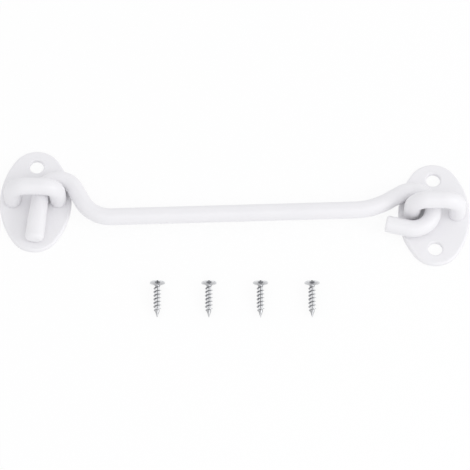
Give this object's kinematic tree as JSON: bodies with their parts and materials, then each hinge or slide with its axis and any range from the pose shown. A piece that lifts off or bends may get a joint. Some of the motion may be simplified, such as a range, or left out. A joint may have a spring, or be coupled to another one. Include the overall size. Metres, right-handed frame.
{
  "type": "hook and eye latch",
  "caption": "White-coated cabin hook: a bent steel rod swings on the staple of one oval plate and drops over the staple of another to hold a door shut, with loose countersunk screws.",
  "frame": {"origin": "middle of the back face of the pivot plate", "axes": "+X along the latch from the keeper plate to the pivot plate, +Y across it the way the hook lifts out, +Z out of the surface that the plates are screwed to"},
  "size_m": [0.1703, 0.0658, 0.0167],
  "materials": {
    "white_coat": "satin",
    "zinc": "satin"
  },
  "bodies": {
    "plates": {"pivot_plate": "white_coat", "pivot_eye": "white_coat", "keeper_plate": "white_coat", "keeper_eye": "white_coat", "screw_1": "zinc", "screw_2": "zinc", "screw_3": "zinc", "screw_4": "zinc"},
    "hook": {"hook": "white_coat"}
  },
  "joints": [
    {"name": "hook_swing", "type": "hinge", "parent": "plates", "child": "hook", "pos_m": [-0.00815, 0, 0.00515], "axis": [0, 0, -1], "range_deg": [0, 150]}
  ]
}
